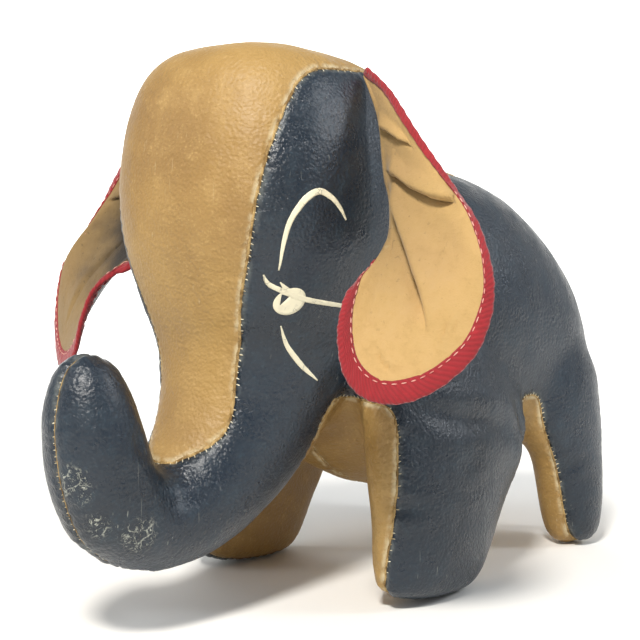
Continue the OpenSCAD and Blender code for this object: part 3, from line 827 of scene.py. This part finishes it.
class SewSkin(bpy.types.Operator):
    """Stuffs the skin, cuts it into its six panels and puts the wadding inside"""
    bl_idname = "elephant.sew_skin"
    bl_label = "Sew the skin"

    def execute(self, context):
        stuffed_skin(context.scene.elephant_sizes)
        for number, name in enumerate(PANELS):
            finish = "navy" if number in (LEFT_SIDE, RIGHT_SIDE) else "tan"
            panel_piece(name, number, finish)
        bm = bmesh.new()
        bm.from_mesh(work["skin"])
        out = normals(work["skin"])
        for v, n in zip(bm.verts, out):
            v.co -= Vector(n) * (context.scene.elephant_sizes.skin_thickness + 0.4 * MM)
        for face in bm.faces:
            face.material_index = 0
        wadding = finished("wadding", bm, "wadding", "root", ["stuffing"])
        return {"FINISHED"}


# ---- seams ---------------------------------------------------------------------


def even_path(path, out, tan_side, pitch):
    """A path with its points the same distance apart, with the directions along it, away from the
    surface and across the seam towards the tan panel."""
    steps = np.linalg.norm(np.diff(path, axis=0), axis=1)
    far = np.concatenate([[0], np.cumsum(steps)])
    count = max(2, int(round(far[-1] / pitch)))
    at = np.linspace(0, far[-1], count + 1)
    places = np.stack([np.interp(at, far, path[:, k]) for k in range(3)], 1)
    away = np.stack([np.interp(at, far, out[:, k]) for k in range(3)], 1)
    for _ in range(3):
        places[1:-1] = places[1:-1] * 0.5 + (places[:-2] + places[2:]) * 0.25
        away[1:-1] = away[1:-1] * 0.5 + (away[:-2] + away[2:]) * 0.25
    away = unit_rows(away)
    along = unit_rows(np.gradient(places, axis=0))
    across = np.cross(away, along)
    towards = np.stack([np.interp(at, far, tan_side[:, k]) for k in range(3)], 1)
    if (across * towards).sum() < 0:
        across = -across
    return places, along, away, across


def frame_at(place, along, away, size):
    """A matrix that puts a shape at a place, its X along one way and its Z away from the surface."""
    x = Vector(along).normalized()
    y = Vector(away).cross(x).normalized()
    z = x.cross(y)
    turn = Matrix((x, y, z)).transposed().to_4x4()
    return Matrix.Translation(place) @ turn @ Matrix.Diagonal((*size, 1.0))


def thread_stamp():
    """A short thread of unit length and thickness, thick in the middle."""
    return mesh_of(lambda bm: bmesh.ops.create_uvsphere(bm, u_segments=6, v_segments=7, radius=0.5))


def fibre_stamp():
    return mesh_of(lambda bm: bmesh.ops.create_cone(bm, segments=3, radius1=0.13 * MM, radius2=0.03 * MM,
                                                    depth=1))


def thread_over(bm, stamp, place, along, away, length, thickness):
    """One visible stitch, which dips into the skin at both ends."""
    stamped(bm, stamp, frame_at(Vector(place), away, along, (thickness * 1.1, thickness, length)))


def whip_stitches(bm, seam, pitch, sizes, height, lean, luck):
    """Slanting stitches over the two edges of a seam."""
    places, along, away, across = even_path(*seam, pitch)
    stamp = thread_stamp()
    for place, t, n, c in zip(places, along, away, across):
        if luck.random() < 0.1:
            continue
        way = Vector(c + t * (lean + luck.uniform(-0.25, 0.25))).normalized()
        spot = place + n * height - c * (0.9 + luck.uniform(-0.3, 0.3)) * MM
        thread_over(bm, stamp, spot, way, Vector(n), sizes.stitch_length * luck.uniform(0.75, 1.15),
                    sizes.thread_thickness * luck.uniform(0.8, 1.15))


def edge_welt(bm, seam, width, height, luck):
    """The raw edge of the tan panel, which stands up a little beside the seam and is uneven."""
    places, along, away, across = even_path(*seam, 0.9 * MM)
    last = len(places) - 1
    seed = luck.uniform(0, 100)
    drift = np.array([noise.noise(Vector((i * 0.14 + seed, 0, 0))) for i in range(last + 1)])

    def place(u, v):
        i = np.rint(u * last).astype(int)
        angle = 2 * np.pi * v
        lump = 1 + 0.55 * noise_at(np.stack([i * 0.35 + seed, np.cos(angle), np.sin(angle)], 1), 1.0)
        ends = np.minimum(1, u * (1 - u) * last / 2 + 0.02)
        side = np.cos(angle) * width * lump * ends + width * (0.5 + 0.4 * drift[i])
        up = np.sin(angle) * height * lump * ends
        return places[i] + across[i] * side[:, None] + away[i] * up[:, None]

    made = placed_grid(bm, last, 8, place)[0]
    bmesh.ops.remove_doubles(bm, verts=made, dist=0.02 * MM)


def frayed(bm, seam, pitch, luck):
    """Loose fibres along a raw edge."""
    places, along, away, across = even_path(*seam, pitch)
    stamp = fibre_stamp()
    for place, t, n, c in zip(places, along, away, across):
        way = Vector(n * luck.uniform(0.05, 0.5) + c * luck.uniform(-1, 1) + t * luck.uniform(-0.8, 0.8))
        length = luck.uniform(0.6, 1.9) * MM
        middle = Vector(place + n * 0.35 * MM) + way.normalized() * length / 2
        stamped(bm, stamp, frame_at(middle, t, way, (1, 1, length)))


def seams_between(*pairs):
    """Paths of the seams between pairs of panels."""
    wanted = {tuple(sorted(pair)) for pair in pairs}
    return [(path, out, tan_side) for panels, path, out, tan_side in work["seams"] if panels in wanted]


SEAM_PIECES = [
    # name, pairs of panels, stitch pitch as a share, edge half width and height in mm, fibre pitch in mm
    ("gusset_seam", [(LEFT_SIDE, HEAD_GUSSET), (RIGHT_SIDE, HEAD_GUSSET), (HEAD_GUSSET, BACK_GUSSET),
                     (LEFT_SIDE, BACK_GUSSET), (RIGHT_SIDE, BACK_GUSSET)], 1.0, 0.8, 0.5, 1.1),
    ("trunk_seam", [(LEFT_SIDE, RIGHT_SIDE)], 1.0, 0.25, 0.2, 4.0),
    ("leg_seam", [(LEFT_SIDE, LEFT_UNDER), (RIGHT_SIDE, RIGHT_UNDER), (LEFT_UNDER, RIGHT_UNDER),
                  (LEFT_SIDE, RIGHT_UNDER), (RIGHT_SIDE, LEFT_UNDER)], 1.0, 0.6, 0.45, 2.6),
]


class StitchSeams(bpy.types.Operator):
    """Sews the panels together: raw edges, whip stitches and loose fibres along each seam"""
    bl_idname = "elephant.stitch_seams"
    bl_label = "Stitch the seams"

    def execute(self, context):
        sizes = context.scene.elephant_sizes
        luck = random.Random(7)
        for name, pairs, share, width, height, fibre in SEAM_PIECES:
            seams = seams_between(*pairs)
            if not seams:
                raise RuntimeError("no seam was found for " + name)
            edges, threads, fibres = bmesh.new(), bmesh.new(), bmesh.new()
            for seam in seams:
                edge_welt(edges, seam, width * MM, height * MM, luck)
                whip_stitches(threads, seam, sizes.stitch_pitch * share, sizes, 0.15 * MM, 0.25, luck)
                frayed(fibres, seam, fibre * MM, luck)
            finished(name + "_edges", edges, "edge", "root")
            finished(name + "_threads", threads, "thread", "root", [name + "_stitching"])
            finished(name + "_fibres", fibres, "edge", "root")
        return {"FINISHED"}


# ---- painted eyes --------------------------------------------------------------

# Strokes of the left eye: y, z and half width in millimetres
EYE_STROKES = [
    [(-109.5, 167, 0.25), (-110.5, 179, 0.8), (-109, 190, 1.2), (-103, 199.5, 1.5), (-96.5, 203, 1.5),
     (-90, 200.5, 1.3), (-85, 196, 1), (-81, 190, 0.4)],
    [(-114, 165, 0.2), (-111, 160.5, 0.8), (-104.5, 157, 1.1), (-97, 154, 1.2), (-88, 152, 1.1),
     (-72, 149.5, 0.9)],
    [(-107.5, 161.5, 0.2), (-103.5, 157.5, 1.2)],
    [(-101.5, 141, 0.2), (-95.5, 131, 0.9), (-86, 121.5, 1.2), (-75, 113.5, 0.3)],
]
IRIS = (-101, 152.5)
IRIS_RADIUS = 6.3
# Corners of the unpainted gap in the iris, from its middle
GAP = [(-4.3, 3.4), (-0.8, 2.6), (-3.6, -2)]


def gap_reach(angle, shape):
    """Distance from the middle of a closed shape of corners to its outline in each direction."""
    ways = np.stack([np.cos(angle), np.sin(angle)], -1)
    reach = np.full(len(angle), 1e9)
    for i, a in enumerate(shape):
        d = shape[(i + 1) % len(shape)] - a
        over = ways[:, 0] * d[1] - ways[:, 1] * d[0]
        over = np.where(abs(over) < 1e-9, 1e-9, over)
        far = (a[0] * d[1] - a[1] * d[0]) / over
        along = (a[0] * ways[:, 1] - a[1] * ways[:, 0]) / over
        good = (far > 0) & (along >= -1e-6) & (along <= 1 + 1e-6)
        reach = np.where(good & (far < reach), far, reach)
    return reach


class PaintEyes(bpy.types.Operator):
    """Paints an eye on each cheek: brow, lid with its lash, iris and cheek line"""
    bl_idname = "elephant.paint_eyes"
    bl_label = "Paint the eyes"

    def execute(self, context):
        bm = bmesh.new()
        bm.from_mesh(work["skin"])
        tree = BVHTree.FromBMesh(bm)
        bm.free()

        def on_cheek(side, y, z):
            places = []
            for a, b in zip(y, z):
                hit, n, _, _ = tree.ray_cast(Vector((side * 0.2, a * MM, b * MM)), Vector((-side, 0, 0)))
                if hit is None:
                    raise RuntimeError("an eye stroke misses the cheek")
                places.append(hit + n * 0.22 * MM)
            return places

        for side, name in ((1, "left_eye_paint"), (-1, "right_eye_paint")):
            bm = bmesh.new()
            for stroke in EYE_STROKES:
                last = len(stroke) - 1

                def place(u, v):
                    here = spline(stroke, u * last)
                    way = spline(stroke, np.minimum(last, u * last + 0.05))
                    way = unit_rows((way - spline(stroke, np.maximum(0, u * last - 0.05)))[:, :2])
                    rough = 1 + 0.12 * noise_at(np.stack([here[:, 0], here[:, 1], 3 * v], 1), 1.0)
                    off = (2 * v - 1) * here[:, 2] * rough
                    return on_cheek(side, here[:, 0] - way[:, 1] * off, here[:, 1] + way[:, 0] * off)

                placed_grid(bm, 8 * last, 4, place)
            corners = np.array(GAP, float)
            middle = corners.mean(0)

            def iris(u, v):
                """Rings from the outline of the gap to the outline of the iris, about the gap's middle."""
                angle = 2 * np.pi * u
                inner = gap_reach(angle, corners - middle)
                way = np.stack([np.cos(angle), np.sin(angle)], -1)
                ahead = way @ middle
                outer = np.sqrt(ahead ** 2 + IRIS_RADIUS ** 2 - middle @ middle) - ahead
                reach = inner + (outer - inner) * v
                spots = np.array(IRIS) + middle + way * reach[:, None]
                return on_cheek(side, spots[:, 0], spots[:, 1])

            made = placed_grid(bm, 72, 6, iris)[0]
            bmesh.ops.remove_doubles(bm, verts=made, dist=0.01 * MM)
            for face in bm.faces:
                if face.normal.x * side < 0:
                    face.normal_flip()
            paint = finished(name.replace("_paint", "_strokes"), bm, "paint", "root", [name])
            thicken(paint, 0.3 * MM)
        return {"FINISHED"}


# ---- ears ----------------------------------------------------------------------

# Root of the left ear on the head and its rim, from the top outwards and round, in millimetres
EAR_ROOT = [(52, -50, 262), (67, -57, 240), (74, -60, 216), (76, -60, 196), (75.5, -58, 178)]
EAR_RIM = [(54, -51, 263), (73, -59, 251), (89, -66, 236), (104, -69, 219), (118, -72, 204),
           (133, -76, 188), (142, -79, 168), (143, -81, 150), (137, -87, 131), (121, -98, 116),
           (104, -107, 113), (92, -111, 122), (87, -110, 140), (85, -102, 156), (82, -82, 168),
           (78, -65, 176)]
EAR_BULGE = 14
BULGE_WAY = np.array([0.86, -0.5, 0])
# Pleats of each ear's cloth: line as (r, s), height of the step and its width in millimetres
LEFT_TUCKS = [
    ([(0, 0.19), (0.19, 0.187), (0.47, 0.197), (0.63, 0.2)], 3.4, 7),
    ([(0, 0.41), (0.12, 0.38), (0.22, 0.39), (0.43, 0.367), (0.63, 0.337), (0.85, 0.3)], 4.6, 9),
    ([(0, 0.5), (0.12, 0.58), (0.21, 0.593), (0.37, 0.593), (0.57, 0.587), (0.73, 0.59)], 6, 13),
    ([(0.78, 0.687), (0.86, 0.647)], 1.8, 6),
    ([(0.74, 0.543), (0.82, 0.573)], 1.4, 6),
]
RIGHT_TUCKS = [
    ([(0, 0.4), (0.3, 0.36), (0.7, 0.31)], 1.8, 7),
    ([(0.2, 0.6), (0.5, 0.58), (0.8, 0.6)], 1.2, 8),
]


def ear_shape(side, s, r):
    """Points of an ear: s runs along root and rim, r from the root to the rim, in metres."""
    s, r = np.broadcast_arrays(np.asarray(s, float), np.asarray(r, float))
    root = spline(EAR_ROOT, (len(EAR_ROOT) - 1) * np.maximum(s, 0) ** 0.7)
    rim = spline(EAR_RIM, (len(EAR_RIM) - 1) * s)
    if side < 0:
        # The right ear is less wide above its lobe
        less = 12 * np.exp(-((rim[..., 2] - 188) / 22) ** 2) * (rim[..., 1] > -90)
        rim = rim - less[..., None] * np.array([1, 0, 0])
    wide = np.minimum(1, np.linalg.norm(rim - root, axis=-1) / 90)
    bulge = EAR_BULGE * wide * np.sin(np.pi * s) * 4 * np.maximum(r, 0) * (1 - r)
    return (root + (rim - root) * r[..., None] + bulge[..., None] * BULGE_WAY) * np.array([side, 1, 1]) * MM


def ear_out(side, s, r):
    """Directions out of the front face of an ear."""
    a, b = np.clip(s, 0.03, 0.97), np.clip(r, 0.05, 0.95)
    ds = ear_shape(side, a + 0.02, b) - ear_shape(side, a - 0.02, b)
    dr = ear_shape(side, a, b + 0.04) - ear_shape(side, a, b - 0.04)
    return unit_rows(np.cross(ds, dr)) * side


def tuck_lift(side, p, s, r):
    """How far the cloth stands out: a step at each pleat, with its upper side on top."""
    lift = 0.3 * MM * noise_at(p, 0.02) + 0.6 * MM * noise_at(p, 0.045)
    stretch = np.linalg.norm(ear_shape(side, s + 0.01, r) - ear_shape(side, s - 0.01, r), axis=-1) / 0.02
    for line, height, width in (LEFT_TUCKS if side > 0 else RIGHT_TUCKS):
        rs, ss = np.array(line).T
        gap = (s - np.interp(r, rs, ss)) * stretch / MM
        far = (r - rs[0]) / (rs[-1] - rs[0])
        taper = np.clip(6 * far + (0.35 if rs[0] < 0.05 else 0), 0, 1) * np.clip(3 * (1 - far), 0, 1)
        upper = np.exp(-(gap / width) ** 2) * (1 - 0.35 * np.exp(-(gap / 1.2) ** 2))
        lower = -0.75 * np.exp(-(gap / (0.45 * width)) ** 2)
        lift += height * MM * taper * np.where(gap < 0, upper, lower)
    return lift * np.clip((1.02 - r) * 7, 0, 1) * np.clip(r * 10, 0, 1)


def ear_cloth(side, s, r):
    """Points of the middle of an ear's cloth and the directions out of its front."""
    p, n = ear_shape(side, s, r), ear_out(side, s, r)
    return p + n * tuck_lift(side, p, s, r)[:, None], n


ROOT_REACH = -0.05


def ear_layer(name, side, lift, thickness, finish):
    bm = bmesh.new()
    soiled = bm.verts.layers.float.new("soiled")

    def place(u, v):
        p, n = ear_cloth(side, 0.006 + 0.988 * u, ROOT_REACH + (0.985 - ROOT_REACH) * v)
        return p + n * lift

    made, u, v = placed_grid(bm, 230, 56, place)
    # Highest near the head: on the right ear this layer places the painted shadow of the head
    for vert, dirt_and_shadow in zip(made, np.clip(1.15 - v * 1.1, 0, 1) * (0.55 + 0.5 * u)):
        vert[soiled] = min(1, dirt_and_shadow)
    face_out(bm, Vector(ear_out(side, 0.5, 0.5)) * (1 if lift >= 0 else -1))
    piece = finished(name, bm, finish, None)
    thicken(piece, thickness, 1.0)
    return piece


def face_out(bm, way):
    """Turns an open sheet so that its faces look one way."""
    bm.normal_update()
    if sum((face.normal * face.calc_area() for face in bm.faces), Vector()).dot(way) < 0:
        bmesh.ops.reverse_faces(bm, faces=bm.faces)


def ear_length(side, s):
    return np.linalg.norm(ear_shape(side, s, 1) - ear_shape(side, s, 0), axis=-1).clip(1 * MM)


def shown_width(side, s, sizes, face):
    """Width of the tape on a face of the ear: on the front it is narrower towards the top."""
    share = np.interp(s, [0, 0.16, 0.32, 0.5], [0.34, 0.34, 0.6, 1] if side > 0 else [0.6, 0.9, 1, 1])
    return sizes.tape_width * np.where(face > 0, share, 1.0)


def ear_tape(name, side, sizes):
    """Twill tape folded over the rim, its edge turned in, a little puckered by its stitches."""
    bm = bmesh.new()
    weave = bm.loops.layers.uv.new("weave")
    # Half the folded tape's thickness, the share of its width that goes over the rim, and its length
    half, fold, around = 1.4 * MM, 0.2, 420 * MM

    def place(u, v):
        s, t = 0.004 + 0.986 * u, 2 * v - 1
        room, n, rim = ear_length(side, s), ear_out(side, s, 0.95), ear_shape(side, s, 1)
        along = ear_shape(side, s + 0.004, 1) - ear_shape(side, s - 0.004, 1)
        inwards = unit_rows(np.cross(along, n)) * side
        puckered = 1 + 0.08 * np.sin(np.pi * u * around / sizes.run_pitch)
        thick = half * puckered * (1 + 0.12 * noise_at(rim, 0.009))
        angle = t / fold * math.pi / 2
        out_of_rim, off_middle = np.cos(angle) * 1.4 * thick + 0.3 * MM, np.sin(angle) * thick
        over = rim - inwards * out_of_rim[:, None] + n * off_middle[:, None]
        q = np.clip((abs(t) - fold) / (1 - fold), 0, 1)
        wide = shown_width(side, s, sizes, t) * (1 + 0.05 * noise_at(rim, 0.013))
        cloth, out = ear_cloth(side, s, 1 - np.minimum(wide, room * 0.9) * q / room)
        crown = thick * (1 + 0.2 * np.sin(np.pi * np.minimum(1, q * 1.1)) - 0.3 * q ** 3) * np.sign(t)
        return np.where((abs(t) <= fold)[:, None], over, cloth + out * crown[:, None])

    made, u, v = placed_grid(bm, 260, 20, place)
    spots = {vert: (a * around, b * 2 * (sizes.tape_width + half)) for vert, a, b in zip(made, u, v)}
    for face in bm.faces:
        for loop in face.loops:
            loop[weave].uv = spots[loop.vert]
    bm.normal_update()
    middle = Vector(ear_shape(side, 0.5, 0.5))
    if sum(f.normal.dot(f.calc_center_median() - middle) for f in bm.faces) < 0:
        bmesh.ops.reverse_faces(bm, faces=bm.faces)
    tape = finished(name, bm, "tape", None)
    thicken(tape, 0.55 * MM)
    return tape


def ear_run(name, side, sizes, luck):
    """Running stitch through the tape, seen on both faces of the ear."""
    bm = bmesh.new()
    stamp = thread_stamp()
    s = np.linspace(0.02, 0.97, 2001)
    far = np.concatenate([[0], np.cumsum(np.linalg.norm(np.diff(ear_shape(side, s, 1), axis=0), axis=1))])
    s = np.interp(np.arange(sizes.run_pitch, far[-1], sizes.run_pitch), far, s)
    way = ear_shape(side, s + 0.004, 1) - ear_shape(side, s - 0.004, 1)
    for face in (1, -1):
        wide = shown_width(side, s, sizes, np.full(len(s), face))
        cloth, out = ear_cloth(side, s, 1 - (wide - 2 * MM) / ear_length(side, s))
        kept = (wide > 5 * MM) & (ear_length(side, s) > 1.3 * sizes.tape_width)
        for spot, t, n in zip((cloth + out * 1.5 * MM * face)[kept], way[kept], out[kept]):
            thread_over(bm, stamp, spot, Vector(t).normalized(), Vector(n),
                        sizes.run_pitch * luck.uniform(0.5, 0.66), sizes.thread_thickness)
    return finished(name, bm, "run_thread", None)


class SewEars(bpy.types.Operator):
    """Makes both ears: a pleated front, a back, red tape round the rim and its running stitch"""
    bl_idname = "elephant.sew_ears"
    bl_label = "Sew the ears"

    def execute(self, context):
        sizes = context.scene.elephant_sizes
        luck = random.Random(11)
        for side, word in ((1, "left"), (-1, "right")):
            body = word + "_ear"
            # The right ear's front carries painted shade for the shadow of the head
            front = ear_layer(body + "_front_cloth", side, 0.12 * MM, 0.8 * MM,
                              "ear" if side > 0 else "worn_and_shaded_ear")
            back = ear_layer(body + "_back_cloth", side, -0.12 * MM, 0.8 * MM, "navy")
            tape = ear_tape(body + "_tape", side, sizes)
            run = ear_run(body + "_run", side, sizes, luck)
            joint = next(j for j in frame["joints"] if j["child"] == body)
            hinge, axis = Vector(joint["pos_m"]), Vector(joint["axis"]).normalized()
            away = Vector((0.6 * side, -0.8, 0))
            away = (away - axis * away.dot(axis)).normalized()
            for piece, node in ((front, "front"), (back, "back"), (tape, "binding"), (run, "topstitch")):
                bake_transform(piece)
                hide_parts(body + "_" + node)
        return {"FINISHED"}


# ---- tail ----------------------------------------------------------------------


class SewTail(bpy.types.Operator):
    """Makes the tail, a doubled strip sewn into the rump, with its stitches"""
    bl_idname = "elephant.sew_tail"
    bl_label = "Sew the tail"

    def execute(self, context):
        sizes = context.scene.elephant_sizes
        luck = random.Random(5)
        low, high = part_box("tail")
        joint = next(j for j in frame["joints"] if j["child"] == "tail")
        root = Vector(joint["pos_m"])
        down = Vector((0, high.y - root.y - 1.5 * MM, low.z - root.z)).normalized()
        out = Vector((0, -down.z, down.y))
        length = (root.z - low.z) / abs(down.z) - 1 * MM
        wide = (high.x - low.x) / 2
        thick = 1.3 * MM

        def strip(u, v):
            far = -6 * MM + (length + 6 * MM) * u
            half = wide * (1 - 0.5 * np.maximum(0, u - 0.1))
            half = half * (np.sqrt(np.maximum(0, 1 - np.maximum(0, (u - 0.9) / 0.1) ** 2)) * 0.97 + 0.03)
            angle = 2 * np.pi * v
            side = np.sign(np.cos(angle)) * abs(np.cos(angle)) ** 0.35 * half
            spots = np.stack([side, far, 0 * far], 1)
            up = np.sin(angle) * thick * (1 + 0.12 * noise_at(spots, 0.007))
            up = up + 1.1 * MM * np.sin(np.pi * u) + 0.6 * MM * np.sin(2.5 * np.pi * u) + 0.6 * MM
            return np.array(root) + np.outer(far, down) + np.outer(up, out) + np.outer(side, (1, 0, 0))

        def on_strip(u, share):
            """Place on the outer face of the strip, at a share of its half width."""
            flat = Vector(strip(np.array([u]), np.array([0.25]))[0])
            return flat + Vector((share * wide * (1 - 0.5 * max(0, u - 0.1)), 0, 0)) + out * 0.1 * MM

        bm = bmesh.new()
        bm.verts.layers.float.new("seam")
        bm.verts.layers.float.new("flaked")
        made = placed_grid(bm, 40, 28, strip)[0]
        bmesh.ops.remove_doubles(bm, verts=made, dist=0.02 * MM)
        bmesh.ops.holes_fill(bm, edges=[e for e in bm.edges if e.is_boundary])
        bmesh.ops.recalc_face_normals(bm, faces=bm.faces)
        tail = finished("tail_strip", bm, "navy", None)
        bm = bmesh.new()
        stamp = thread_stamp()
        for row in (-1, 1):
            for i in range(12):
                thread_over(bm, stamp, on_strip(0.16 + 0.72 * i / 11, row * 0.72), down, out, 2.6 * MM,
                            sizes.thread_thickness)
        for i in range(5):
            thread_over(bm, stamp, on_strip(0.2, (i - 2) / 3), down, out, 4.2 * MM * luck.uniform(0.9, 1.1),
                        sizes.thread_thickness)
        stitches = finished("tail_threads", bm, "thread", None)
        for piece, node in ((tail, "tail"), (stitches, "tail_stitching")):
            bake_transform(piece)
            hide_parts(node)
        return {"FINISHED"}


# ---- stage ---------------------------------------------------------------------


def softbox(name, place, target, size, power, colour):
    lamp = bpy.data.lights.new(name, "AREA")
    lamp.shape = "DISK"
    lamp.size = size
    lamp.energy = power
    lamp.color = colour
    light = bpy.data.objects.new(name, lamp)
    light.location = place
    light.rotation_euler = (Vector(target) - Vector(place)).to_track_quat("-Z", "Y").to_euler()
    bpy.context.scene.collection.objects.link(light)


MIDDLE = (0, 0, 0.13)
# Way in which the floor sweeps up behind the toy, how far off that starts, and how steep it gets
SWEEP_WAY, SWEEP_START, SWEEP_RISE = (-0.643, 0.766), 1.2, 0.3
# Where the camera stands, the degrees it is turned to the left, its lens in mm and its upward shift
CAMERA_PLACE, CAMERA_TURN, LENS, SHIFT = (0.447, -0.554, 0.184), 40, 73.7, -0.136


class SetStage(bpy.types.Operator):
    """Puts the elephant on a pale floor, with soft lights and the camera"""
    bl_idname = "elephant.set_stage"
    bl_label = "Set the stage"

    def execute(self, context):
        material, tree, place = start_material("pale_matt_floor")
        clouds = add(tree, NOISE, {"Vector": place} | blotches(0.4))
        tone = add(tree, MIX, {"Factor": clouds, "A": linear("#f1f0ec"), "B": linear("#f6f5f2")}, **COLOURS)
        end_material(tree, {"Base Color": tone, "Roughness": 0.85})
        bm = bmesh.new()
        bmesh.ops.create_grid(bm, x_segments=60, y_segments=60, size=6)
        for v in bm.verts:
            v.co.z = SWEEP_RISE * max(0, v.co.xy.dot(Vector(SWEEP_WAY)) - SWEEP_START) ** 2
        mesh = bpy.data.meshes.new("floor")
        bm.to_mesh(mesh)
        bm.free()
        mesh.shade_smooth()
        mesh.materials.append(material)
        floor = bpy.data.objects.new("floor", mesh)
        context.scene.collection.objects.link(floor)

        world = bpy.data.worlds.new("studio")
        world.use_nodes = True
        back = world.node_tree.nodes["Background"]
        back.inputs["Color"].default_value = linear("#eef1f5")
        back.inputs["Strength"].default_value = 0.42
        context.scene.world = world
        softbox("key", (0.6, -1.2, 1.5), MIDDLE, 0.35, 42, (1.0, 0.96, 0.9))
        softbox("fill", (-1.0, -1.1, 0.8), MIDDLE, 0.8, 4, (1.0, 0.98, 0.95))
        softbox("rim", (1.3, 0.9, 1.1), MIDDLE, 0.5, 10, (0.92, 0.96, 1.0))
        softbox("backdrop", (-1.4, 0.6, 2.2), (-2.6, 3.1, 0.6), 1.5, 120, (1.0, 1.0, 1.0))

        lens = bpy.data.cameras.new("camera")
        lens.sensor_width = 36
        lens.lens = LENS
        lens.shift_y = SHIFT
        lens.clip_start = 0.05
        camera = bpy.data.objects.new("camera", lens)
        camera.location = CAMERA_PLACE
        camera.rotation_euler = (math.radians(90), 0, math.radians(CAMERA_TURN))
        context.scene.collection.objects.link(camera)
        context.scene.camera = camera
        context.scene.view_settings.view_transform = "Standard"
        return {"FINISHED"}


# ---- the add-on ----------------------------------------------------------------

STEPS = (SetStage, SewSkin, StitchSeams, PaintEyes, SewEars, SewTail)


class ElephantPanel(bpy.types.Panel):
    """Lists the steps of making the elephant"""
    bl_idname = "VIEW3D_PT_elephant"
    bl_label = "Stuffed elephant"
    bl_space_type = "VIEW_3D"
    bl_region_type = "UI"
    bl_category = "Elephant"

    def draw(self, context):
        for group in (context.scene.elephant_sizes, context.scene.elephant_colours):
            for key in group.__annotations__:
                self.layout.prop(group, key)
        for step in STEPS:
            self.layout.operator(step.bl_idname)


CLASSES = (ElephantSizes, ElephantColours, *STEPS, ElephantPanel)


def register():
    for cls in CLASSES:
        bpy.utils.register_class(cls)
    bpy.types.Scene.elephant_sizes = PointerProperty(type=ElephantSizes)
    bpy.types.Scene.elephant_colours = PointerProperty(type=ElephantColours)


def unregister():
    del bpy.types.Scene.elephant_sizes
    del bpy.types.Scene.elephant_colours
    for cls in reversed(CLASSES):
        bpy.utils.unregister_class(cls)


def main():
    register()
    for step in STEPS:
        group, name = step.bl_idname.split(".")
        getattr(getattr(bpy.ops, group), name)()


if __name__ == "__main__":
    main()
